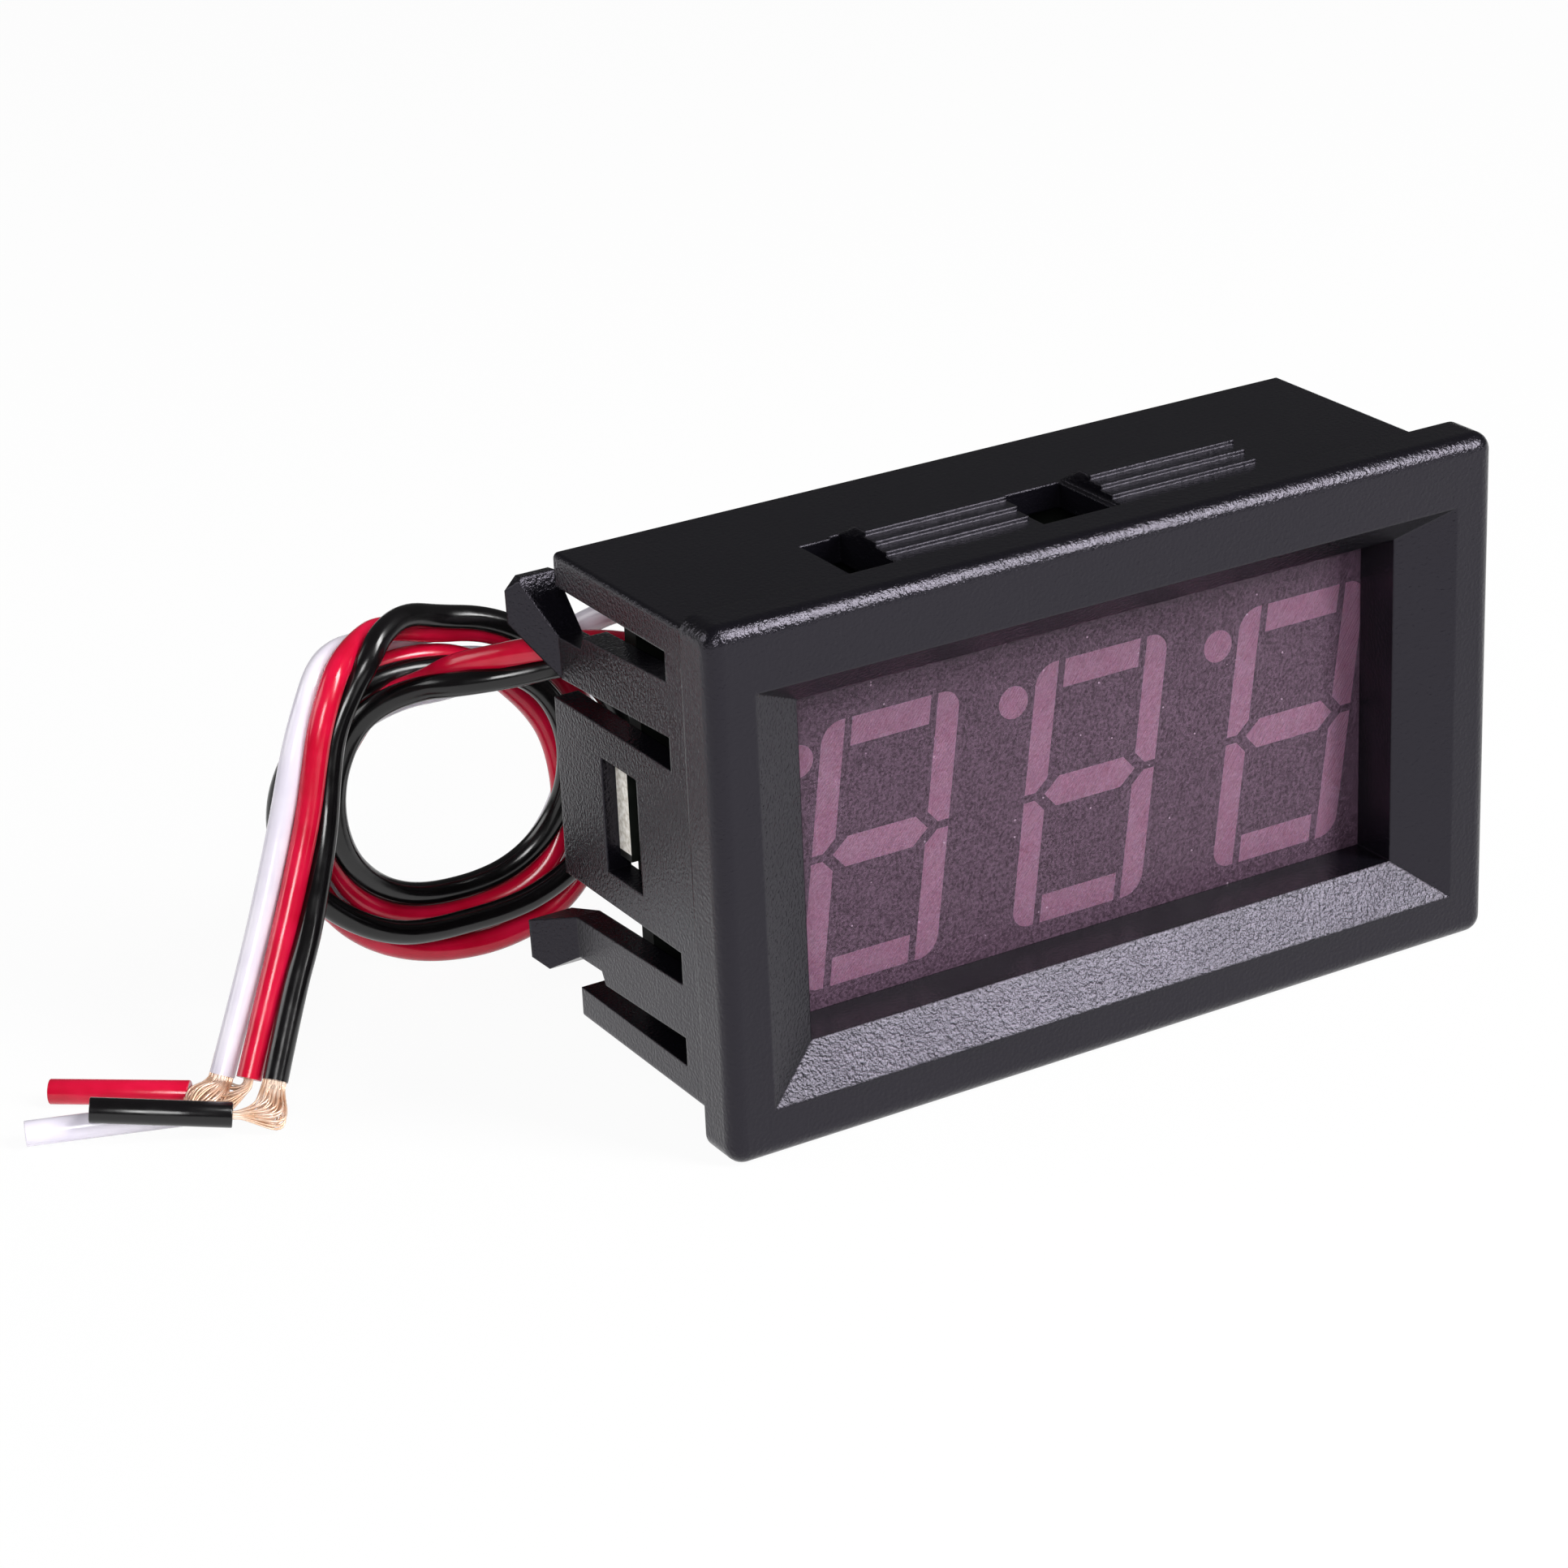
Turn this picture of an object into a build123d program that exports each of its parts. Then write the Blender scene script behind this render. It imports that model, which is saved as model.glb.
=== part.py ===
# Digital panel meter: a snap-in bezel and case in one moulding, a three-digit display behind a
# tinted film, its circuit board, and three thin wires wound into a ring with stripped ends.
# Millimetres. X is to the right, Y to the rear, Z up. The origin is in the panel's plane, at the
# middle of the bezel's rear face. The meter stands on the bottom edge of its bezel.
import math
import os

from build123d import *

# Bezel
bezel_width = 48.0
bezel_height = 29.0
bezel_depth = 2.8
bezel_corner = 1.0
bezel_edge = 0.9
frame_side = 2.5
frame_top = 3.7
frame_bottom = 2.75

# Viewing window: a picture-frame bevel, then a straight tunnel to the display
window_width = 36.8
window_height = 18.6
bevel_depth = 1.4
tunnel_depth = 2.8
collar_wall = 1.3

# Case behind the panel
case_width = 46.0
case_height = 26.4
case_length = 14.7
wall = 1.4
front_wall = 1.4
case_edge = 0.3

# Side wall: two snap arms between slots, and a tab with a window for the board
slot_start = 3.4
arm_inner = 6.8
arm_width = 3.0
arm_notch = 0.7
arm_notch_length = 2.4
arm_sag = 2.6
inner_slot = 1.8
outer_slot = 1.6
head_length = 2.3
head_reach = 1.7
head_thickness = 2.6
head_edge = 0.6
head_corner = 0.7
tab_length = 0.9
tab_window_height = 6.4
tab_window_front = 7.15

# How far each snap arm's head leans away from its neck: at its inner edge and at its outer edge
upper_head_lean = (2.8, 3.0)
lower_head_lean = (0.45, 1.0)

# Ratchet wedges and slots in the top and bottom walls, for panels of several thicknesses
wedge_starts = (-10.7, 3.7)
wedge_width = 9.2
wedge_front = 2.3
step_pitch = 1.0
step_count = 4
step_rise = 0.25
wedge_tail = 2.2
wall_slots = ((-12.5, -10.1), (-0.8, 3.4))
wall_slot_front = 2.4
wall_slot_rear = 7.8

# Display and board
film_thickness = 0.25
display_depth = 8.0
display_lip_side = 0.45
display_lip_top = 0.2
board_thickness = 1.2
board_width = 42.4
board_height = 22.6
board_tab_reach = 1.0
board_tab_height = 5.0
board_corner = 0.6

# Digits, seen from the front: the top leans to the right
digit_pitch = 12.95
digit_height = 14.5
digit_width = 8.26
digit_slant = 0.136
digit_offset_x = 0.9
digit_offset_z = -1.1
upright_stroke = 1.35
level_stroke = 1.55
middle_stroke = 1.65
segment_gap = 0.42
segment_corner = 1.1
segment_depth = 0.4
dot_diameter = 1.8
dot_side_gap = 1.3
dot_drop = 0.75

# Display pins through the board
pin_columns = 6
pin_pitch = 2.54
pin_row_spacing = 15.24
pin_diameter = 0.5
pin_hole_diameter = 0.9
pin_embed = 1.0
pin_tip = 1.3
joint_diameter = 1.6
joint_height = 0.9

# Parts on the rear of the board: place of the centre, then width, height and thickness
microcontroller_at = (1.5, 0.6)
microcontroller_size = (6.5, 4.4, 1.0)
microcontroller_leads_a_side = 10
lead_pitch = 0.65
lead_width = 0.25
lead_reach = 1.0
lead_thickness = 0.15
package_lift = 0.1
regulator_at = (-9.5, 3.6)
regulator_size = (4.5, 2.5, 1.5)
regulator_lead_pitch = 1.5
regulator_lead_width = 0.45
regulator_lead_reach = 0.9
regulator_tab_width = 1.7
diode_at = (-11.0, -3.4)
diode_size = (2.7, 1.7, 1.1)
diode_terminal = (0.5, 1.0, 0.3)
capacitor_size = (1.6, 0.8, 0.8)
capacitor_places = ((-9.6, 0.2), (-5.0, 4.6), (-4.6, -1.0), (7.6, 3.6))
resistor_size = (1.6, 0.8, 0.45)
resistor_places = ((-6.4, -3.6), (-3.4, -3.6), (-0.4, -3.6), (2.6, -3.6), (8.0, 0.6), (10.6, 0.6), (10.6, 3.6))
chip_end = 0.3
trimmer_at = (8.4, -3.4)
trimmer_side = 3.2
trimmer_height = 1.5
trimmer_floor = 0.3
trimmer_lid = 0.3
rotor_disc_diameter = 2.4
rotor_boss_diameter = 1.8
rotor_clearance = 0.05
rotor_proud = 0.15
rotor_slot_width = 0.4
rotor_slot_depth = 0.3

# Wires
wire_diameter = 1.35
pad_pitch = 2.4
pad_x = -17.6
pad_z = 6.8
pad_joint_diameter = 2.0
pad_joint_height = 1.3
copper_diameter = 0.6
ring_x = -24.5
ring_y = 26.5
ring_outer_diameter = 21.5
ring_section = 4.9

# Route of the red wire from the board into the ring. Each row is a point and then the step from
# the red wire to the black one. The white wire goes behind the ring by points of its own.
lead_route = (
    (pad_x, None, pad_z, 0.0, 0.0, -pad_pitch),
    (-17.6, 14.4, 6.8, 0.0, 0.0, -pad_pitch),
    (-18.8, 17.4, 6.7, 0.0, 0.0, -1.8),
    (-21.6, 19.3, 6.0, 0.0, 0.0, -1.46),
    (-24.6, 20.4, 5.1, -0.15, -0.3, -1.42),
    (-26.4, 22.6, 4.2, -0.6, -0.75, -1.12),
    (-28.0, 25.2, 2.9, -0.95, -0.95, -0.55),
)

white_lead_route = (
    (-17.6, 14.4, 9.2),
    (-18.3, 17.8, 9.0),
    (-19.6, 22.4, 8.0),
    (-21.4, 26.6, 6.4),
    (-24.4, 28.4, 4.7),
)

# Route of the red wire from the ring down to the surface that the meter stands on; here the white
# wire lies opposite the black one
tail_route = (
    (-24.2, 26.2, 5.3, 0.35, -0.45, 1.35),
    (-28.4, 25.0, 6.9, 0.15, -0.75, 1.24),
    (-31.2, 23.2, 6.3, 0.2, -1.26, 0.75),
    (-33.7, 21.9, 3.6, 0.85, -1.17, -0.1),
    (-35.2, 21.6, -0.4, 1.0, -1.07, -0.12),
    (-36.4, 21.0, -4.1, 1.0, -1.07, -0.12),
    (-37.95, 19.4, -7.2, 1.0, -1.07, 0.0),
    (-39.8, 18.7, -10.3, 0.95, -1.15, 0.05),
)
tail_ends = {"white": (-42.9, 19.4, -12.7), "red": (-41.5, 17.5, -12.8), "black": (-40.4, 16.2, -12.9)}

# Sleeves of insulation left on the far ends of the bare copper, from the free end to the copper
stubs = {
    "white": ((-52.4, 20.9, -13.8), (-44.8, 18.2, -13.8)),
    "red": ((-49.5, 24.6, -13.8), (-43.5, 20.1, -13.8)),
    "black": ((-49.5, 19.0, -12.5), (-43.0, 15.8, -13.4)),
}
copper_bends = {
    "white": ((-43.45, 18.55, -13.7),),
    "red": ((-42.2, 18.1, -14.05), (-42.5, 19.2, -14.05)),
    "black": ((-41.1, 15.2, -13.95),),
}
copper_run_out = 0.75

# Derived sizes
front_y = -bezel_depth
floor_z = -bezel_height / 2
opening_half_width = bezel_width / 2 - frame_side
opening_top = bezel_height / 2 - frame_top
opening_bottom = -bezel_height / 2 + frame_bottom
bevel_rear_y = front_y + bevel_depth
cavity_front_y = bevel_rear_y - bevel_depth / 2 + front_wall
film_y = bevel_rear_y + tunnel_depth
display_y = film_y + film_thickness
board_y = display_y + display_depth
board_rear_y = board_y + board_thickness
side_x = case_width / 2
inner_x = side_x - wall
top_z = case_height / 2
inner_z = top_z - wall
arm_outer = arm_inner + arm_width
display_width = window_width + 2 * display_lip_side
display_height = window_height + 2 * display_lip_top
ring_radius = (ring_outer_diameter - ring_section) / 2
ring_z = floor_z + ring_outer_diameter / 2
ribbon = {"white": -1.0, "red": 0.0, "black": 1.0}


def block(x, y, z):
    """A box between a low and a high limit on each axis."""
    limits = (x, y, z)
    centre = [(low + high) / 2 for low, high in limits]
    return Pos(*centre) * Box(*[high - low for low, high in limits])


def slab(outline, y_front, y_rear):
    """An outline drawn in X and Z as seen from the front, between two depths."""
    return extrude(Plane.XZ.offset(-y_rear) * outline, y_rear - y_front)


def post(x, z, y_front, y_rear, diameter):
    """A round post along Y."""
    return slab(Pos(x, z) * Circle(diameter / 2), y_front, y_rear)


def polygon(*points):
    return make_face(Polyline(*points, close=True))


def save(shape, name):
    """Writes one node; a list becomes a group of separate solids."""
    solids = shape if isinstance(shape, list) else [shape]
    parts = [solid for piece in solids for solid in piece.solids()]
    export_step(parts[0] if len(parts) == 1 else Compound(children=parts), f"parts/{name}.step")


def bezel():
    plate = slab(RectangleRounded(bezel_width, bezel_height, bezel_corner), front_y, 0)
    plate = fillet(plate.faces().sort_by(Axis.Y)[0].edges(), bezel_edge)
    return plate


def window():
    """The hollow in front of the display: the bevel and the tunnel."""
    opening_height = opening_top - opening_bottom
    opening_z = (opening_top + opening_bottom) / 2
    outer = Plane.XZ.offset(-front_y) * Pos(0, opening_z) * Rectangle(2 * opening_half_width, opening_height)
    inner = Plane.XZ.offset(-bevel_rear_y) * Rectangle(window_width, window_height)
    tunnel = slab(Rectangle(window_width, window_height), bevel_rear_y, film_y)
    return loft([outer, inner], ruled=True) + tunnel


def arm(lean):
    """One snap arm at the right and top, whose head ramps out and leans away behind the case."""
    inner_lean, outer_lean = lean
    neck = arm_outer - arm_notch
    notch_y = case_length - arm_notch_length
    head_y = case_length + head_length
    head_top = neck + outer_lean
    side = polygon(
        (slot_start - wall, arm_inner),
        (case_length, arm_inner),
        (head_y, arm_inner + inner_lean),
        (head_y, head_top),
        (head_y - head_edge, head_top),
        (case_length, neck),
        (notch_y, neck),
        (notch_y - arm_notch / 2, arm_outer),
        (slot_start - wall, arm_outer),
    )
    blank = Pos(inner_x, 0, 0) * extrude(Plane.YZ * side, wall + head_reach)
    head_inner = side_x + head_reach - head_thickness
    plan = polygon(
        (inner_x, slot_start - wall),
        (side_x, slot_start - wall),
        (side_x, case_length),
        (side_x + head_reach, head_y),
        (head_inner, head_y),
        (inner_x, case_length),
    )
    end = polygon(
        (inner_x, 0),
        (side_x + head_reach, 0),
        (side_x + head_reach, head_top - head_corner),
        (side_x + head_reach - head_corner, head_top),
        (inner_x, head_top),
    )
    return blank & extrude(Plane.XY * plan, case_height) & slab(end, 0, 2 * case_length)


def sagged(one, side):
    """A snap arm turned a little downwards about its root."""
    root = Pos(0, slot_start, side * (arm_inner + arm_outer) / 2)
    return root * Rot(X=-arm_sag) * root.inverse() * one


def snap_arms():
    """The upper and the lower snap arm of the right wall."""
    upper = sagged(arm(upper_head_lean), 1)
    lower = sagged(mirror(arm(lower_head_lean), about=Plane.XY), -1)
    return [upper, lower]


def side_cuts():
    """What is taken out of the right wall: the slots, the arms' stretch and the board window."""
    rear = case_length + tab_length + head_length
    span = (inner_x - rotor_clearance, side_x + wall)
    inner_edge = arm_inner - inner_slot
    outer_edge = arm_outer + outer_slot
    cuts = block(span, (slot_start, rear), (inner_edge, outer_edge))
    cuts += mirror(cuts, about=Plane.XY)
    window_z = tab_window_height / 2
    return cuts + block(span, (tab_window_front, board_rear_y), (-window_z, window_z))


def wedge(x):
    """A ratchet wedge on the top wall, its steps facing the panel."""
    points = [(wedge_front, top_z - step_rise)]
    for step in range(step_count):
        y = wedge_front + step * step_pitch
        height = top_z + (step + 1) * step_rise
        points += [(y, height), (y + step_pitch, height)]
    points += [(points[-1][0] + wedge_tail, top_z - step_rise)]
    return Pos(x, 0, 0) * extrude(Plane.YZ * polygon(*points), wedge_width)


def housing():
    """Bezel, case, snap arms and wedges: one moulding."""
    case = block((-side_x, side_x), (0, case_length), (-top_z, top_z))
    case = fillet(case.edges().filter_by(Axis.Y), case_edge)
    hollow = block((-inner_x, inner_x), (cavity_front_y, case_length), (-inner_z, inner_z))
    collar_width = window_width + 2 * collar_wall
    collar_height = window_height + 2 * collar_wall
    collar = slab(Rectangle(collar_width, collar_height), cavity_front_y, film_y)
    tab_z = arm_inner - inner_slot
    tab = block((inner_x, side_x), (case_length, case_length + tab_length), (-tab_z, tab_z))
    walls = bezel() + case - hollow + collar - window()
    for side in (False, True):
        cuts = side_cuts()
        arms = snap_arms()
        rim = tab - block((inner_x, side_x), (tab_window_front, board_rear_y), (-tab_z, tab_z))
        if side:
            cuts = mirror(cuts, about=Plane.YZ)
            arms = [mirror(one, about=Plane.YZ) for one in arms]
            rim = mirror(rim, about=Plane.YZ)
        walls = walls + rim - cuts
        for one in arms:
            walls = walls + one
    for x in wedge_starts:
        top_wedge = wedge(x)
        walls = walls + top_wedge + mirror(top_wedge, about=Plane.XY)
    for low, high in wall_slots:
        slot = block((low, high), (wall_slot_front, wall_slot_rear), (inner_z, top_z + wall))
        walls = walls - slot - mirror(slot, about=Plane.XY)
    return walls


def upright(bottom, top, outer_corner_top):
    """A vertical stroke of a digit before it leans: its outer edge is at x = 0, its inner edge to
    the right, one outer corner is rounded and the inner corner at the middle of the digit is cut."""
    cut = upright_stroke / 2
    if outer_corner_top:
        outline = [(0, bottom), (cut, bottom), (upright_stroke, bottom + cut), (upright_stroke, top), (0, top)]
        corner = (0, top)
    else:
        outline = [(0, bottom), (upright_stroke, bottom), (upright_stroke, top - cut), (cut, top), (0, top)]
        corner = (0, bottom)
    face = polygon(*outline)
    nearest = face.vertices().sort_by_distance((corner[0], corner[1], 0))[0]
    return fillet(nearest, segment_corner)


def level(width, low, high):
    return Pos(0, (low + high) / 2) * Rectangle(width, high - low)


def digit_outlines():
    """Seven strokes about the digit's centre, before they lean."""
    half_width = digit_width / 2
    half_height = digit_height / 2
    half_gap = segment_gap / 2
    left_top = Pos(-half_width, 0) * upright(half_gap, half_height, True)
    left_bottom = Pos(-half_width, 0) * upright(-half_height, -half_gap, False)
    uprights = [left_top, left_bottom]
    uprights += [mirror(one, about=Plane.YZ) for one in (left_top, left_bottom)]
    inside = digit_width - 2 * upright_stroke - 2 * segment_gap
    top = level(inside, half_height - level_stroke, half_height)
    bottom = level(inside, -half_height, -half_height + level_stroke)
    point = half_width - upright_stroke / 2 - segment_gap * math.sqrt(2)
    shoulder = point - middle_stroke / 2
    half_stroke = middle_stroke / 2
    middle = polygon(
        (-point, 0),
        (-shoulder, half_stroke),
        (shoulder, half_stroke),
        (point, 0),
        (shoulder, -half_stroke),
        (-shoulder, -half_stroke),
    )
    return uprights + [top, bottom, middle]


def lean(face):
    """The same outline, leaning to the right as it rises."""
    edges = []
    for edge in face.faces()[0].outer_wire().edges():
        start, middle, end = (edge.position_at(share) for share in (0, 0.5, 1))
        points = [(p.X + digit_slant * p.Y, p.Y) for p in (start, middle, end)]
        if edge.geom_type == GeomType.LINE:
            edges.append(Line(points[0], points[2]))
        else:
            edges.append(ThreePointArc(*points))
    return make_face(edges)


def digit(index):
    """The lit strokes of one digit, counted from the left."""
    x = digit_offset_x + (index - 1) * digit_pitch
    return [
        slab(Pos(x, digit_offset_z) * lean(face), display_y, display_y + segment_depth)
        for face in digit_outlines()
    ]


def dots():
    """The decimal points, at the upper left of each digit."""
    drop = digit_height / 2 - dot_drop - dot_diameter / 2
    side = digit_width / 2 + dot_side_gap - digit_slant * drop
    return [
        post(
            digit_offset_x + (index - 1) * digit_pitch - side,
            digit_offset_z + drop,
            display_y,
            display_y + segment_depth,
            dot_diameter,
        )
        for index in range(3)
    ]


def display_body(lit):
    body = slab(Rectangle(display_width, display_height), display_y, board_y)
    for segment in lit:
        body = body - segment
    for pin in pins():
        body = body - pin
    return body


def pin_places():
    first = -(pin_columns - 1) * pin_pitch / 2
    for column in range(pin_columns):
        for side in (-1, 1):
            yield first + column * pin_pitch, side * pin_row_spacing / 2


def pins():
    start, end = board_y - pin_embed, board_rear_y + pin_tip
    return [post(x, z, start, end, pin_diameter) for x, z in pin_places()]


def solder_cone(x, z, foot, height, hole):
    """A round fillet of solder on the board's rear face, around what it joins."""
    neck = hole + 0.25 * (foot - hole)
    lower = Plane.XZ.offset(-board_rear_y) * Pos(x, z) * Circle(foot / 2)
    upper = Plane.XZ.offset(-board_rear_y - height) * Pos(x, z) * Circle(neck / 2)
    cone = loft([lower, upper])
    return cone - post(x, z, board_rear_y - height, board_rear_y + 2 * height, hole)


def circuit_board():
    board = slab(RectangleRounded(board_width, board_height, board_corner), board_y, board_rear_y)
    reach = board_width / 2 + board_tab_reach
    half_tab = board_tab_height / 2
    board += block((-reach, reach), (board_y, board_rear_y), (-half_tab, half_tab))
    for x, z in pin_places():
        board = board - post(x, z, board_y, board_rear_y, pin_hole_diameter)
    return board


def package(at, size, lift):
    """A moulded package that stands a little off the board."""
    x, z = at
    width, height, thickness = size
    base = board_rear_y + lift
    return block(
        (x - width / 2, x + width / 2),
        (base, base + thickness),
        (z - height / 2, z + height / 2),
    )


def gull_lead(x, z, out, width):
    """A bent lead: from the package's side, down, and out along the board."""
    top = board_rear_y + package_lift + microcontroller_size[2] / 2
    foot = board_rear_y
    knee = lead_reach * 0.4
    profile = polygon(
        (0, top),
        (knee, top),
        (knee + lead_thickness, foot + lead_thickness),
        (lead_reach, foot + lead_thickness),
        (lead_reach, foot),
        (knee, foot),
        (knee - lead_thickness, top - lead_thickness),
        (0, top - lead_thickness),
    )
    plane = Plane(origin=(x, 0, z), x_dir=(0, 0, out), z_dir=(-out, 0, 0))
    return extrude(plane * profile, width / 2, both=True)


def microcontroller_leads():
    x, z = microcontroller_at
    first = -(microcontroller_leads_a_side - 1) * lead_pitch / 2
    leads = []
    for index in range(microcontroller_leads_a_side):
        for out in (-1, 1):
            edge = z + out * microcontroller_size[1] / 2
            leads.append(gull_lead(x + first + index * lead_pitch, edge, out, lead_width))
    return leads


def regulator_leads():
    """Three flat legs below the package and a wide tab above it."""
    x, z = regulator_at
    half_height = regulator_size[1] / 2
    legs = []
    for index in (-1, 0, 1):
        centre = x + index * regulator_lead_pitch
        half = regulator_lead_width / 2
        low = z - half_height - regulator_lead_reach
        legs.append(
            block(
                (centre - half, centre + half),
                (board_rear_y, board_rear_y + regulator_lead_width),
                (low, z - half_height),
            )
        )
    half = regulator_tab_width / 2
    high = z + half_height
    legs.append(
        block((x - half, x + half), (board_rear_y, board_rear_y + regulator_lead_width), (high, high + regulator_lead_reach))
    )
    return legs


def diode_terminals():
    x, z = diode_at
    reach, height, thickness = diode_terminal
    edge = diode_size[0] / 2
    half = height / 2
    return [
        block(
            sorted((x + out * edge, x + out * (edge + reach))),
            (board_rear_y, board_rear_y + thickness),
            (z - half, z + half),
        )
        for out in (-1, 1)
    ]


def chips(places, size):
    """Ceramic bodies between their metal ends."""
    width, height, thickness = size
    return [package(at, (width - 2 * chip_end, height, thickness), 0) for at in places]


def chip_ends():
    ends = []
    for places, size in ((capacitor_places, capacitor_size), (resistor_places, resistor_size)):
        width, height, thickness = size
        for x, z in places:
            for out in (-1, 1):
                at = (x + out * (width - chip_end) / 2, z)
                ends.append(package(at, (chip_end, height, thickness), 0))
    return ends


def trimmer_body():
    """The open square case that holds the adjuster's disc under its lid."""
    x, z = trimmer_at
    case = package(trimmer_at, (trimmer_side, trimmer_side, trimmer_height), 0)
    disc_floor = board_rear_y + trimmer_floor
    disc_top = board_rear_y + trimmer_height - trimmer_lid
    room = 2 * rotor_clearance
    case = case - post(x, z, disc_floor, disc_top, rotor_disc_diameter + room)
    return case - post(x, z, disc_top, disc_top + trimmer_height, rotor_boss_diameter + room)


def trimmer_rotor():
    x, z = trimmer_at
    disc_floor = board_rear_y + trimmer_floor + rotor_clearance
    disc_top = board_rear_y + trimmer_height - trimmer_lid - rotor_clearance
    boss_top = board_rear_y + trimmer_height + rotor_proud
    rotor = post(x, z, disc_floor, disc_top, rotor_disc_diameter)
    rotor += post(x, z, disc_top, boss_top, rotor_boss_diameter)
    half = rotor_slot_width / 2
    radius = rotor_disc_diameter / 2
    cut = (boss_top - rotor_slot_depth, boss_top + rotor_slot_depth)
    slot = block((x - radius, x + radius), cut, (z - half, z + half))
    return rotor - slot


def tube(points, diameter, name):
    """A round wire along straight runs joined by arcs as large as the runs allow."""
    runs = [Vector(*b) - Vector(*a) for a, b in zip(points, points[1:])]
    radii = []
    for before, after in zip(runs, runs[1:]):
        half_turn = math.radians(before.get_angle(after)) / 2
        radii.append(0.45 * min(before.length, after.length) / math.tan(half_turn))
    path = FilletPolyline(*points, radius=radii)
    print(name, "radii", [round(radius, 1) for radius in radii], "length", round(path.length, 1))
    section = Plane(origin=path @ 0, z_dir=path % 0) * Circle(diameter / 2)
    wire = sweep(section, path=path)
    expected = math.pi * diameter**2 / 4 * path.length
    print(name, "volume", round(wire.volume, 2), "section times length", round(expected, 2))
    return wire


def wire_route(rows, colour):
    """The route of one wire of the three, beside the red one."""
    side = ribbon[colour]
    points = []
    for x, y, z, step_x, step_y, step_z in rows:
        start_y = board_rear_y if y is None else y
        points.append((x + side * step_x, start_y + side * step_y, z + side * step_z))
    return points


def lead(colour):
    points = wire_route(lead_route, colour)
    if colour == "white":
        points = points[:1] + list(white_lead_route)
    return tube(points, wire_diameter, f"{colour} lead")


def tail(colour):
    points = wire_route(tail_route, colour) + [tail_ends[colour]]
    return tube(points, wire_diameter, f"{colour} tail")


def pad_joints():
    joints = []
    for side in ribbon.values():
        z = pad_z - side * pad_pitch
        joints.append(solder_cone(pad_x, z, pad_joint_diameter, pad_joint_height, wire_diameter))
    return joints


def conductor(colour):
    """Bare copper from the end of a wire to the sleeve that was slid off it."""
    start = Vector(*tail_ends[colour])
    before = Vector(*wire_route(tail_route, colour)[-1])
    out = (start - before).normalized()
    free, end = (Vector(*point) for point in stubs[colour])
    back = (end - free).normalized()
    points = [start, start + out * copper_run_out]
    points += [Vector(*point) for point in copper_bends[colour]]
    points += [end + back * copper_run_out, end]
    return tube([tuple(point) for point in points], copper_diameter, f"{colour} conductor")


def stub(colour):
    free, end = (Vector(*point) for point in stubs[colour])
    axis = end - free
    return extrude(Plane(origin=free, z_dir=axis) * Circle(wire_diameter / 2), axis.length)


def wire_ring():
    """The outer shape of the wires' turns."""
    ring = Torus(ring_radius, ring_section / 2)
    return Pos(ring_x, ring_y, ring_z) * Rot(X=90) * ring


def main():
    os.makedirs("parts", exist_ok=True)
    digits = [digit(index) for index in range(3)]
    points = dots()
    save(housing(), "housing")
    film = slab(Rectangle(display_width, display_height), film_y, display_y)
    save(film, "filter_film")
    lit = [segment for one in digits for segment in one] + points
    save(display_body(lit), "display_body")
    for index, segments in enumerate(digits):
        save(segments, f"digit_{index + 1}_segments")
    save(points, "decimal_points")
    save(pins(), "display_pins")
    joints = [solder_cone(x, z, joint_diameter, joint_height, pin_diameter) for x, z in pin_places()]
    save(joints, "pin_solder_joints")
    save(circuit_board(), "circuit_board")
    save(package(microcontroller_at, microcontroller_size, package_lift), "microcontroller")
    save(microcontroller_leads(), "microcontroller_leads")
    save(package(regulator_at, regulator_size, 0), "voltage_regulator")
    save(regulator_leads(), "regulator_leads")
    save(package(diode_at, diode_size, 0), "protection_diode")
    save(diode_terminals(), "diode_terminals")
    save(chips(capacitor_places, capacitor_size), "ceramic_capacitors")
    save(chips(resistor_places, resistor_size), "chip_resistors")
    save(chip_ends(), "chip_terminals")
    save(trimmer_body(), "trimmer_body")
    save(trimmer_rotor(), "trimmer_rotor")
    save(pad_joints(), "wire_solder_joints")
    for colour in ribbon:
        save(lead(colour), f"{colour}_lead")
        save(tail(colour), f"{colour}_tail")
        save(conductor(colour), f"{colour}_conductor")
        save(stub(colour), f"{colour}_stub")
    save(wire_ring(), "wire_coil")


main()
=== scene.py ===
import math

import bmesh
import bpy
from mathutils import Matrix, Vector


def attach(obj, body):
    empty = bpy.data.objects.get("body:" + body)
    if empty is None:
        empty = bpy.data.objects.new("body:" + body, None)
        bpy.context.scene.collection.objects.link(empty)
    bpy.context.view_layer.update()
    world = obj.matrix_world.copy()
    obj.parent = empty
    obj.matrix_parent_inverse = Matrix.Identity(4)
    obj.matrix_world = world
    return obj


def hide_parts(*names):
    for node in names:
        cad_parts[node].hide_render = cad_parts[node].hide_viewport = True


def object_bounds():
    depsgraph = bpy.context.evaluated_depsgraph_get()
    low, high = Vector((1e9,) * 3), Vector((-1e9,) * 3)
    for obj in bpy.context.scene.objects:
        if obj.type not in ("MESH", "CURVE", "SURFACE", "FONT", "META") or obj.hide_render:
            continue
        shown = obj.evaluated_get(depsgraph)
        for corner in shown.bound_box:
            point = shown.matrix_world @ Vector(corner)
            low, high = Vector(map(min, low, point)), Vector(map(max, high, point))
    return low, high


# Camera, fitted to the photograph: its place, its angles in degrees and its lens
camera_place = (-118.47, -173.11, 90.82)
camera_azimuth = -30.0
camera_elevation = 23.393
camera_roll = 2.596
camera_lens = 100.97
sensor_width = 36

# The table's top, on which the bezel's foot and the copper lie
table_z = -14.5

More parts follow.
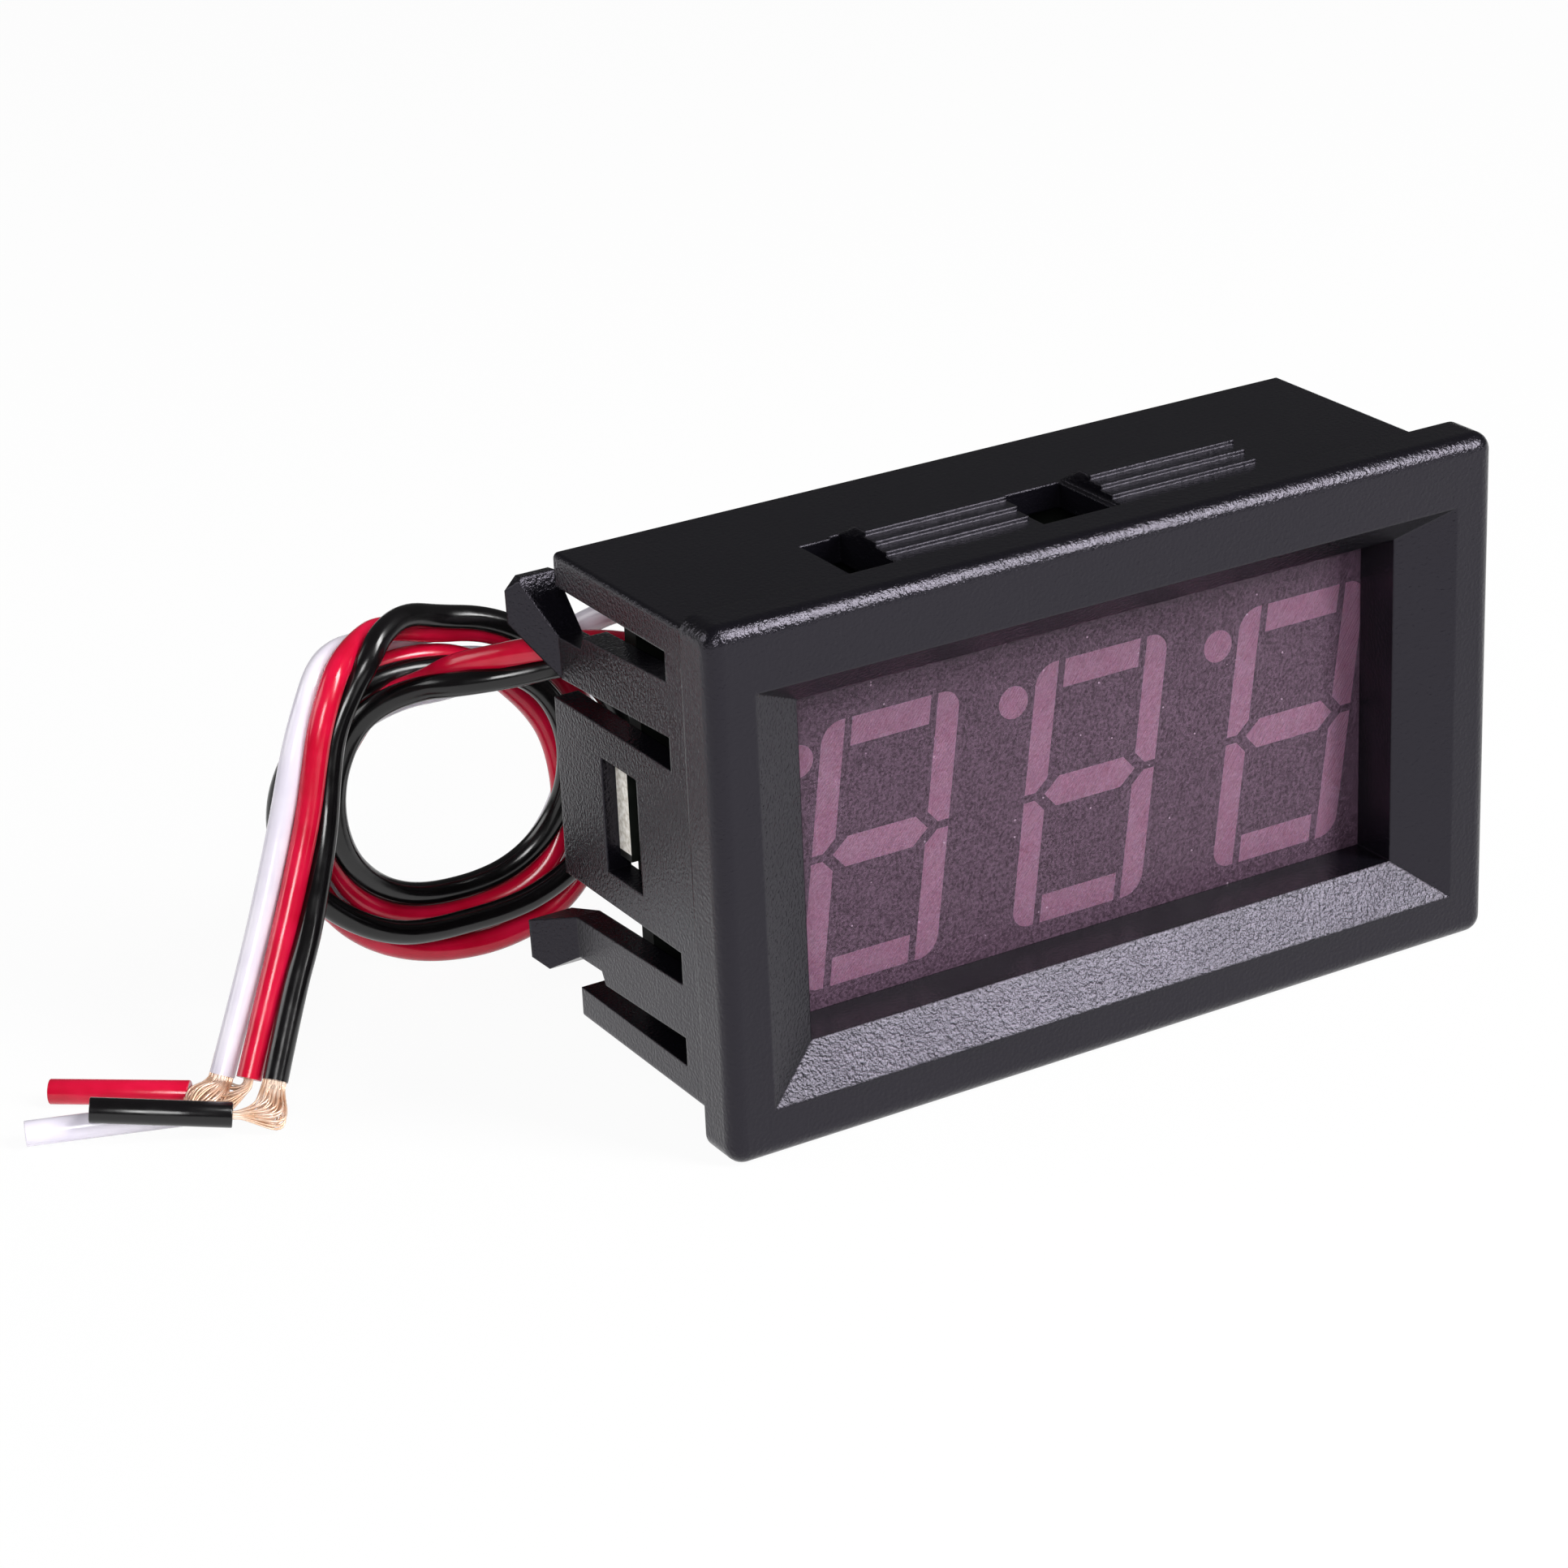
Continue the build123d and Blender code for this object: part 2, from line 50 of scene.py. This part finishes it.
# The three wires: their pads lie as in the solids, and their routes follow the photograph
wire_diameter = 1.35
pad_x = -17.6
pad_z = 6.8
pad_pitch = 2.4
pad_rows = {"red": 0, "black": -1, "white": 1}
board_rear_y = 10.85

# The ring that the wires are wound into, and the angle between its points in degrees
ring_centre = (-24.5, 26.5, -3.75)
ring_radius = 8.3
turn_step = 15

# From the board to the ring
leads = {
    "red": (
        (-17.6, 14.4, 6.8),
        (-20.4, 16.4, 7.25),
        (-23.3, 17.8, 6.95),
        (-24.8, 19.6, 6.25),
        (-25.9, 21.4, 5.55),
        (-26.8, 23.1, 4.3),
        (-27.9, 24.3, 3.6),
        (-29.0, 25.0, 3.0),
    ),
    "black": (
        (-17.6, 14.4, 4.4),
        (-19.6, 16.3, 5.9),
        (-21.65, 17.4, 5.9),
        (-23.1, 18.3, 5.5),
        (-25.05, 19.2, 5.25),
        (-26.6, 20.4, 4.95),
        (-27.6, 22.0, 4.5),
        (-29.25, 23.4, 3.65),
    ),
    "white": (
        (-17.6, 14.4, 9.2),
        (-18.4, 17.0, 8.4),
        (-20.4, 19.8, 6.4),
        (-22.6, 21.6, 4.9),
        (-25.1, 23.6, 3.4),
        (-27.2, 25.4, 2.85),
    ),
}

# In the ring, at each eighth of a turn from the first one past the top: how far the wire lies
# outwards from the middle of the section, and how far to the rear of it
windings = {
    "red": (
        (-0.45, -1.3), (-1.0, -0.3), (-0.85, 0.35), (-0.75, 0.75),
        (-0.05, -0.2), (-0.9, 0.9), (-1.6, 0.5), (-0.3, -0.15),
        (1.15, 0.1), (0.5, 0.0), (0.75, 0.1), (1.0, -0.5),
        (2.0, -0.7), (1.0, -0.1), (0.8, -0.1), (1.1, -0.2),
    ),
    "black": (
        (0.4, -2.4), (-0.9, -1.8), (-2.05, -0.8), (-2.4, -0.1),
        (-1.6, -0.3), (-1.2, -1.1), (-0.7, -1.4), (-0.6, -1.45),
        (1.55, -1.3), (1.95, -0.5), (0.1, -1.8), (-1.0, -1.5),
        (0.3, -1.7), (2.4, -1.4), (1.4, -1.5), (2.1, -0.9),
    ),
    "white": (
        (-1.0, 0.2), (-1.0, 1.2), (-0.65, 1.7), (-0.9, 2.1),
        (-0.3, 1.5), (0.3, 1.7), (-0.6, 1.6), (-1.2, 1.2),
        (0.3, 1.1), (0.7, 1.4), (0.7, 1.5), (0.6, 0.9),
        (1.0, 0.9), (1.6, 1.0), (0.75, 1.4), (0.7, 1.05),
    ),
}

# From the ring to the table
tails = {
    "red": (
        (-28.0, 25.5, 6.95),
        (-29.6, 24.8, 6.8),
        (-31.5, 23.3, 6.4),
        (-32.6, 22.4, 5.4),
        (-33.6, 21.9, 3.6),
        (-34.2, 21.7, 1.55),
        (-34.8, 21.4, -0.5),
        (-36.05, 20.8, -3.4),
        (-37.7, 19.8, -6.55),
        (-39.35, 18.8, -9.45),
        (-41.2, 17.55, -12.6),
    ),
    "black": (
        (-26.8, 24.8, 7.6),
        (-28.8, 23.7, 7.4),
        (-30.1, 22.9, 6.3),
        (-31.1, 23.0, 4.9),
        (-32.4, 22.7, 3.05),
        (-33.05, 22.4, 1.0),
        (-33.8, 21.7, -1.8),
        (-35.3, 20.3, -4.6),
        (-36.55, 19.1, -6.6),
        (-38.0, 18.1, -8.6),
        (-40.25, 16.35, -12.5),
    ),
    "white": (
        (-28.6, 26.4, 5.9),
        (-30.8, 25.4, 6.3),
        (-32.4, 24.2, 6.0),
        (-33.5, 23.3, 4.9),
        (-34.85, 22.6, 2.6),
        (-35.9, 22.2, -0.45),
        (-37.15, 21.6, -3.35),
        (-38.7, 20.8, -6.6),
        (-40.33, 19.9, -9.55),
        (-42.1, 18.95, -12.7),
    ),
}

# The bare copper: from the wire's end, over the bends, to the sleeve that was slid off it
copper_bends = {
    "red": ((-42.2, 18.1, -14.05), (-42.5, 19.2, -14.05)),
    "black": ((-41.1, 15.2, -13.95),),
    "white": ((-43.45, 18.55, -13.7),),
}

# Its fine strands: how far they reach from the middle at each part, how flat they lie over the
# bends, how far they run straight past a cut end and on inside the insulation, the turn from one
# to the next in degrees, and how far their middle stays above the table
strand_count = 36
strand_diameter = 0.12
strand_spread = {"end": 0.45, "bend": 1.7, "sleeve": 0.36}
strand_flatness = 0.5
strand_straight = 0.4
strand_hidden = 1.0
strand_turn = 137.5
strand_clearance = 0.6 * strand_diameter

# The sleeves, from the free end to the end on the copper
sleeves = {
    "red": ((-49.5, 24.6, -13.8), (-43.5, 20.1, -13.8)),
    "black": ((-49.5, 19.0, -12.5), (-43.0, 15.8, -13.4)),
    "white": ((-52.4, 20.9, -13.8), (-44.8, 18.2, -13.8)),
}
sleeve_wall = 0.24
sleeve_bore = 2.5
sleeve_rim = 0.06

# The stretch of the board's edges that is pale, seen in the window of the left wall: its length
# and the height of its middle
board_tab = 5.4
board_tab_z = 0.6

# The table's half width, and how much of it looks plain white to the camera and in mirrors
table_reach = 2
table_whiteness = 0.95

# Studio light: each lamp's direction from the meter, distance, width, height and watts
world_strength = 0.08
lamps = {
    "high_softbox": ((0.459, -0.64, 0.61), 0.5, 0.15, 0.4, 3.8),
    "front_softbox": ((-0.5, -0.8, 0.5), 0.7, 0.22, 0.22, 2.3),
    "rear_softbox": ((-0.8, 0.55, 0.45), 0.6, 0.3, 0.3, 0.9),
}


def mm(x, y, z):
    """A place given in millimetres, as a vector in metres."""
    return Vector((x, y, z)) / 1000


def colour(code):
    """An sRGB hex value as linear red, green, blue and alpha."""
    parts = [int(code[start : start + 2], 16) / 255 for start in (0, 2, 4)]
    linear = [
        part / 12.92 if part <= 0.04045 else ((part + 0.055) / 1.055) ** 2.4 for part in parts
    ]
    return (*linear, 1.0)


def add_node(tree, kind, inputs, **settings):
    """Adds a node; each input is a plain value or another node's output to link from."""
    node = tree.nodes.new(kind)
    for name, value in settings.items():
        setattr(node, name, value)
    for name, value in inputs.items():
        if isinstance(value, bpy.types.NodeSocket):
            tree.links.new(value, node.inputs[name])
        else:
            node.inputs[name].default_value = value
    return node


def new_material(name, **shader):
    """A material with one Principled shader; its sockets are given by name, with _ for a space."""
    material = bpy.data.materials.new(name)
    material.use_nodes = True
    surface = material.node_tree.nodes["Principled BSDF"]
    for socket, value in shader.items():
        surface.inputs[socket.replace("_", " ")].default_value = value
    return material, material.node_tree, surface


def flow(before, start, end, after, share):
    """A smooth value between start and end that also follows the values before and after."""
    bend = 2 * before - 5 * start + 4 * end - after + share * (3 * (start - end) + after - before)
    return start + share / 2 * (end - before + share * bend)


def wire_points(name):
    """The route of one wire: board, lead, two turns of the ring, tail."""
    x, y, z = ring_centre
    points = [(pad_x, board_rear_y, pad_z + pad_rows[name] * pad_pitch)]
    points += leads[name]
    places = windings[name]
    ends = (places[0], *places, places[-1])
    for angle in range(45, 721, turn_step):
        eighth = min(angle // 45 - 1, len(places) - 2)
        share = angle / 45 - 1 - eighth
        out, rear = (flow(*four, share) for four in zip(*ends[eighth : eighth + 4]))
        turn = math.radians(angle)
        radius = ring_radius + out
        points.append((x - radius * math.sin(turn), y + rear, z + radius * math.cos(turn)))
    return points + list(tails[name])


def smooth_lines(name, routes, diameter, sides):
    """Round wires in one curve, each on a smooth spline with its points as control points."""
    curve = bpy.data.curves.new(name, "CURVE")
    curve.dimensions = "3D"
    curve.bevel_depth = diameter / 2000
    curve.bevel_resolution = sides
    curve.use_fill_caps = True
    for points in routes:
        spline = curve.splines.new("NURBS")
        spline.points.add(len(points) - 1)
        for point, place in zip(spline.points, points):
            point.co = (*mm(*place), 1)
        spline.order_u = 3
        spline.use_endpoint_u = True
        spline.resolution_u = 6
    piece = bpy.data.objects.new(name, curve)
    bpy.context.scene.collection.objects.link(piece)
    return piece


def add_strands(name, material):
    """The fine copper strands, fanned out between the wire's end and the sleeve."""
    start = Vector(tails[name][-1])
    out = (start - Vector(tails[name][-2])).normalized()
    free, end = (Vector(place) for place in sleeves[name])
    back = (end - free).normalized()
    stops = [
        (start - out * strand_hidden, "end"),
        (start, "end"),
        (start + out * strand_straight, "end"),
    ]
    stops += [(Vector(place), "bend") for place in copper_bends[name]]
    stops += [
        (end + back * strand_straight, "sleeve"),
        (end, "sleeve"),
        (end - back * strand_hidden, "sleeve"),
    ]
    up = Vector((0, 0, 1))
    across = (end - start).cross(up).normalized()
    routes = []
    for number in range(strand_count):
        turn = number * math.radians(strand_turn)
        reach = math.sqrt((number + 0.5) / strand_count)
        aside = across * math.cos(turn) * reach
        route = []
        for place, part in stops:
            if part == "end":
                lift = aside.cross(out)
            else:
                lift = up * math.sin(turn) * reach * strand_flatness
            point = place + (aside + lift) * strand_spread[part]
            point.z = max(point.z, table_z + strand_clearance)
            route.append(tuple(point))
        routes.append(route)
    piece = smooth_lines(f"{name}_strands", routes, strand_diameter, 1)
    piece.data.materials.append(material)
    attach(piece, "meter")
    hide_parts(f"{name}_conductor")


def add_sleeve(name, material):
    """A short tube of insulation with open ends."""
    free, end = (mm(*place) for place in sleeves[name])
    axis = end - free
    shape = bmesh.new()
    radius = wire_diameter / 2000
    bmesh.ops.create_cone(
        shape, cap_ends=True, segments=32, radius1=radius, radius2=radius, depth=axis.length
    )
    ends = [face for face in shape.faces if len(face.verts) > 4]
    rims = [edge for face in ends for edge in face.edges]
    bmesh.ops.bevel(
        shape,
        geom=rims,
        offset=sleeve_rim / 1000,
        affect="EDGES",
        segments=2,
        profile=0.5,
        material=-1,
    )
    ends = [face for face in shape.faces if len(face.verts) > 4]
    bmesh.ops.inset_region(shape, faces=ends, thickness=sleeve_wall / 1000, use_even_offset=True)
    bores = [face for face in shape.faces if len(face.verts) > 4]
    for bore in bores:
        inward = -bore.normal * sleeve_bore / 1000
        grown = bmesh.ops.extrude_discrete_faces(shape, faces=[bore])
        bmesh.ops.translate(shape, vec=inward, verts=grown["faces"][0].verts)
    turn = axis.to_track_quat("Z", "Y").to_matrix().to_4x4()
    place = Matrix.Translation((free + end) / 2) @ turn
    bmesh.ops.transform(shape, matrix=place, verts=shape.verts)
    for face in shape.faces:
        face.smooth = len(face.verts) == 4
    mesh = bpy.data.meshes.new(f"{name}_sleeve")
    shape.to_mesh(mesh)
    shape.free()
    piece = bpy.data.objects.new(f"{name}_sleeve", mesh)
    bpy.context.scene.collection.objects.link(piece)
    mesh.materials.append(material)
    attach(piece, "meter")
    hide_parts(f"{name}_stub")


def add_wire(name, material):
    """One insulated wire from its pad on the board to its stripped end."""
    piece = smooth_lines(f"{name}_wire", [wire_points(name)], wire_diameter, 6)
    piece.data.materials.append(material)
    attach(piece, "meter")
    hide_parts(f"{name}_lead", f"{name}_tail", "wire_coil")


def paint(node, material):
    """Gives a CAD node its finish."""
    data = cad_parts[node].data
    data.materials.clear()
    data.materials.append(material)


def add_camera():
    """The camera at the photograph's place, turned a little about its own line of sight."""
    azimuth = math.radians(camera_azimuth)
    elevation = math.radians(camera_elevation)
    back = Vector(
        (
            math.sin(azimuth) * math.cos(elevation),
            -math.cos(azimuth) * math.cos(elevation),
            math.sin(elevation),
        )
    )
    data = bpy.data.cameras.new("camera")
    data.lens = camera_lens
    data.sensor_width = sensor_width
    data.clip_start = 0.01
    data.clip_end = 10
    camera = bpy.data.objects.new("camera", data)
    bpy.context.scene.collection.objects.link(camera)
    aim = (-back).to_track_quat("-Z", "Y").to_matrix().to_4x4()
    roll = Matrix.Rotation(math.radians(-camera_roll), 4, "Z")
    camera.matrix_world = Matrix.Translation(mm(*camera_place)) @ aim @ roll
    bpy.context.scene.camera = camera


def add_lamp(name, direction, distance, width, height, power):
    """A soft rectangular lamp that shines at the meter."""
    data = bpy.data.lights.new(name, "AREA")
    data.shape = "RECTANGLE"
    data.size = width
    data.size_y = height
    data.energy = power
    lamp = bpy.data.objects.new(name, data)
    bpy.context.scene.collection.objects.link(lamp)
    place = Vector(direction).normalized() * distance
    aim = (-place).to_track_quat("-Z", "Y").to_matrix().to_4x4()
    lamp.matrix_world = Matrix.Translation(place) @ aim


def add_floor(low):
    """A white table; the camera and mirror-like faces see it white, and a faint shadow stays."""
    mesh = bpy.data.meshes.new("table")
    shape = bmesh.new()
    bmesh.ops.create_grid(shape, x_segments=1, y_segments=1, size=table_reach)
    bmesh.ops.translate(shape, vec=(0, 0, low), verts=shape.verts)
    shape.to_mesh(mesh)
    shape.free()
    floor = bpy.data.objects.new("table", mesh)
    bpy.context.scene.collection.objects.link(floor)
    material, tree, surface = new_material(
        "table_white", Base_Color=colour("EDEDED"), Roughness=0.7
    )
    rays = add_node(tree, "ShaderNodeLightPath", {})
    seen = rays.outputs["Is Camera Ray"]
    for kind in ("Is Glossy Ray", "Is Transmission Ray"):
        seen = add_node(
            tree, "ShaderNodeMath", {0: seen, 1: rays.outputs[kind]}, operation="MAXIMUM"
        ).outputs[0]
    share = add_node(tree, "ShaderNodeMath", {0: seen, 1: table_whiteness}, operation="MULTIPLY")
    glow = add_node(tree, "ShaderNodeEmission", {"Color": (1, 1, 1, 1), "Strength": 1.0})
    both = add_node(
        tree,
        "ShaderNodeMixShader",
        {0: share.outputs[0], 1: surface.outputs[0], 2: glow.outputs[0]},
    )
    tree.links.new(both.outputs[0], tree.nodes["Material Output"].inputs["Surface"])
    mesh.materials.append(material)


def add_world():
    """A faint white light from all sides."""
    world = bpy.data.worlds.new("studio")
    bpy.context.scene.world = world
    world.use_nodes = True
    sky = world.node_tree.nodes["Background"]
    sky.inputs["Color"].default_value = (1, 1, 1, 1)
    sky.inputs["Strength"].default_value = world_strength


def noise(tree, size, **inputs):
    """Noise with spots of this size in millimetres, on the piece's own coordinates."""
    place = add_node(tree, "ShaderNodeTexCoord", {})
    inputs = {"Vector": place.outputs["Object"], "Scale": 1000 / size, **inputs}
    return add_node(tree, "ShaderNodeTexNoise", inputs).outputs["Fac"]


def add_relief(tree, surface, size, height, edge=0.0, **inputs):
    """A fine relief of this spot size and height in millimetres; edge rounds the corners."""
    relief = {"Height": noise(tree, size, **inputs), "Strength": 1.0, "Distance": height / 1000}
    if edge:
        rounded = add_node(tree, "ShaderNodeBevel", {"Radius": edge / 1000}, samples=6)
        relief["Normal"] = rounded.outputs[0]
    bump = add_node(tree, "ShaderNodeBump", relief)
    tree.links.new(bump.outputs[0], surface.inputs["Normal"])


def spots(tree, size, low, high, **inputs):
    """A value or a colour that changes softly between two, in spots of this size."""
    spread = {"Value": noise(tree, size, **inputs), "From Min": 0.35, "From Max": 0.65}
    if isinstance(low, float):
        spread.update({"To Min": low, "To Max": high})
    share = add_node(tree, "ShaderNodeMapRange", spread).outputs[0]
    if isinstance(low, float):
        return share
    mixed = add_node(tree, "ShaderNodeMixRGB", {"Fac": share, "Color1": low, "Color2": high})
    return mixed.outputs[0]


def vary(tree, surface, socket, size, low, high, **inputs):
    """Lets one socket of the shader change between two values in spots of this size."""
    tree.links.new(spots(tree, size, low, high, **inputs), surface.inputs[socket])


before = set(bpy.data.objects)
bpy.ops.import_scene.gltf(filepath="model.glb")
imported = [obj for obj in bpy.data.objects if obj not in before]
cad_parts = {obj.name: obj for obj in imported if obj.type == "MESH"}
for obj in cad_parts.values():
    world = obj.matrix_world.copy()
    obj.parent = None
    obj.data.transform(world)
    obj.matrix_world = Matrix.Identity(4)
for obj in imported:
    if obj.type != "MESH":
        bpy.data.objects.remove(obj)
packed_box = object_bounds()

# Moulded black ABS with a spark-eroded grain: dull, sparkling finely where light grazes it, with
# a thin bright line along its moulded edges. The grain is drawn coarser than the real one, so
# that it shows
case_plastic, tree, surface = new_material(
    "spark_eroded_abs",
    Base_Color=colour("0C0B10"),
    Specular_IOR_Level=0.44,
    Specular_Tint=(0.9, 0.84, 1.0, 1.0),
)
add_relief(tree, surface, 0.2, 0.044, edge=0.16, Detail=2.0, Roughness=0.6)
vary(tree, surface, "Roughness", 5.0, 0.2, 0.25)

# Tinted polycarbonate film: smoky purple and a little grainy, with a few pale specks of dust, so
# the display behind looks dusty
dust_spacing = 1.3
dust_reach = 0.045
film_tint, tree, surface = new_material("tinted_polycarbonate", Alpha=0.5)
add_relief(tree, surface, 0.12, 0.006, Detail=3.0)
place = add_node(tree, "ShaderNodeTexCoord", {})
speck = add_node(
    tree,
    "ShaderNodeTexVoronoi",
    {"Vector": place.outputs["Object"], "Scale": 1000 / dust_spacing},
)
dusty = add_node(
    tree, "ShaderNodeMath", {0: speck.outputs["Distance"], 1: dust_reach}, operation="LESS_THAN"
)
smoke = spots(tree, 0.16, colour("4A3746"), colour("775C72"), Detail=3.0)
tint = add_node(
    tree,
    "ShaderNodeMixRGB",
    {"Fac": dusty.outputs[0], "Color1": smoke, "Color2": colour("B49CB0")},
)
tree.links.new(tint.outputs[0], surface.inputs["Base Color"])
vary(tree, surface, "Roughness", 4.0, 0.32, 0.42)

# Matt black ink on the display's face and sides: a very fine orange-peel
display_ink, tree, surface = new_material("matt_black_ink", Base_Color=colour("1A1418"))
add_relief(tree, surface, 0.25, 0.004)
vary(tree, surface, "Roughness", 2.0, 0.5, 0.65)

# Milky diffusing epoxy of the unlit segments: pale pink, unevenly deep
segment_epoxy, tree, surface = new_material(
    "milky_epoxy", Subsurface_Weight=0.2, Subsurface_Scale=0.0005
)
add_relief(tree, surface, 0.6, 0.004)
vary(tree, surface, "Base Color", 1.6, colour("F8A6D0"), colour("FFBADE"))
vary(tree, surface, "Roughness", 1.2, 0.4, 0.5)

# Tin plate on pins and leads: satin metal with drawn and dull spots
tin, tree, surface = new_material("tinned_brass", Base_Color=colour("CBC8C0"), Metallic=1.0)
add_relief(tree, surface, 0.12, 0.004, Detail=3.0)
vary(tree, surface, "Roughness", 0.4, 0.22, 0.42)

# Reflowed solder: smooth and bright, faintly rippled
solder, tree, surface = new_material("reflowed_solder", Base_Color=colour("BFBFBB"), Metallic=1.0)
add_relief(tree, surface, 0.5, 0.02)
vary(tree, surface, "Roughness", 0.6, 0.14, 0.3)

# Glass-epoxy laminate: black solder mask on its faces and on its edges, except a short stretch of
# pale grainy laminate on the edges at the height of the left wall's window
laminate, tree, surface = new_material("glass_epoxy_laminate")
place = add_node(tree, "ShaderNodeTexCoord", {})
facing = add_node(tree, "ShaderNodeSeparateXYZ", {0: place.outputs["Normal"]})
level = add_node(tree, "ShaderNodeMath", {0: facing.outputs["Y"]}, operation="ABSOLUTE")
masked = add_node(tree, "ShaderNodeMath", {0: level.outputs[0], 1: 0.5}, operation="GREATER_THAN")
fibre = spots(tree, 0.25, colour("D2CCC0"), colour("FFFCF6"), Detail=3.0)
along = add_node(tree, "ShaderNodeSeparateXYZ", {0: place.outputs["Object"]})
aside = add_node(
    tree, "ShaderNodeMath", {0: along.outputs["Z"], 1: board_tab_z / 1000}, operation="SUBTRACT"
)
away = add_node(tree, "ShaderNodeMath", {0: aside.outputs[0]}, operation="ABSOLUTE")
beyond = add_node(
    tree, "ShaderNodeMath", {0: away.outputs[0], 1: board_tab / 2000}, operation="GREATER_THAN"
)
covered = add_node(
    tree, "ShaderNodeMath", {0: masked.outputs[0], 1: beyond.outputs[0]}, operation="MAXIMUM"
)
skin = add_node(
    tree,
    "ShaderNodeMixRGB",
    {"Fac": covered.outputs[0], "Color1": fibre, "Color2": colour("121512")},
)
tree.links.new(skin.outputs[0], surface.inputs["Base Color"])
add_relief(tree, surface, 0.3, 0.006)
vary(tree, surface, "Roughness", 1.5, 0.3, 0.45)

# Mould-grained black epoxy of the chip packages
package_epoxy, tree, surface = new_material("moulding_epoxy", Base_Color=colour("1C1C1E"))
add_relief(tree, surface, 0.08, 0.006)
vary(tree, surface, "Roughness", 0.8, 0.55, 0.7)

# Fired ceramic of the capacitors: tan, slightly mottled
ceramic, tree, surface = new_material("tan_ceramic")
vary(tree, surface, "Base Color", 0.3, colour("8E7250"), colour("A88A66"))
vary(tree, surface, "Roughness", 0.3, 0.35, 0.5)

# Glass glaze on the chip resistors: black and shiny, gently domed
resistor_glaze, tree, surface = new_material("black_glaze", Base_Color=colour("101114"))
add_relief(tree, surface, 0.4, 0.01)
vary(tree, surface, "Roughness", 0.5, 0.18, 0.3)

# Glass-filled nylon of the trimmer's case: grey with a faint flow grain
trimmer_nylon, tree, surface = new_material("glass_filled_nylon")
add_relief(tree, surface, 0.15, 0.008)
vary(tree, surface, "Base Color", 0.5, colour("363B42"), colour("41464E"))
vary(tree, surface, "Roughness", 0.6, 0.42, 0.58)

# Nickelled brass of the trimmer's rotor: warm metal, turned and a little worn
trimmer_brass, tree, surface = new_material(
    "nickelled_brass", Base_Color=colour("CFC7AE"), Metallic=1.0
)
add_relief(tree, surface, 0.1, 0.004)
vary(tree, surface, "Roughness", 0.4, 0.2, 0.38)

# Bare copper strands, drawn fine: pale and bright, in places rosy
copper, tree, surface = new_material("bare_copper_strand", Metallic=0.4)
vary(tree, surface, "Base Color", 0.8, colour("EBC3A4"), colour("F8E0CF"))
vary(tree, surface, "Roughness", 0.5, 0.25, 0.4)

# Extruded PVC of the wires: glossy and slightly uneven along its length, so highlights break up
insulation = {}
for name, low, high in (
    ("red", "C6082E", "DC1440"),
    ("black", "080708", "0E0C0E"),
    ("white", "E2DCEA", "EDE8F2"),
):
    pvc, tree, surface = new_material(f"{name}_pvc", Specular_IOR_Level=0.5)
    add_relief(tree, surface, 1.1, 0.012)
    vary(tree, surface, "Base Color", 2.5, colour(low), colour(high))
    vary(tree, surface, "Roughness", 1.4, 0.16, 0.26)
    insulation[name] = pvc

finishes = {
    case_plastic: ("housing",),
    film_tint: ("filter_film",),
    display_ink: ("display_body",),
    segment_epoxy: ("digit_1_segments", "digit_2_segments", "digit_3_segments", "decimal_points"),
    tin: (
        "display_pins",
        "microcontroller_leads",
        "regulator_leads",
        "diode_terminals",
        "chip_terminals",
    ),
    solder: ("pin_solder_joints", "wire_solder_joints"),
    laminate: ("circuit_board",),
    package_epoxy: ("microcontroller", "voltage_regulator", "protection_diode"),
    ceramic: ("ceramic_capacitors",),
    resistor_glaze: ("chip_resistors",),
    trimmer_nylon: ("trimmer_body",),
    trimmer_brass: ("trimmer_rotor",),
}
for material, nodes in finishes.items():
    for node in nodes:
        paint(node, material)

for name, material in insulation.items():
    add_strands(name, copper)
    add_sleeve(name, material)
    add_wire(name, material)

add_camera()
add_floor(packed_box[0].z)
add_world()
for name, lamp in lamps.items():
    add_lamp(name, *lamp)
bpy.context.scene.view_settings.view_transform = "Standard"
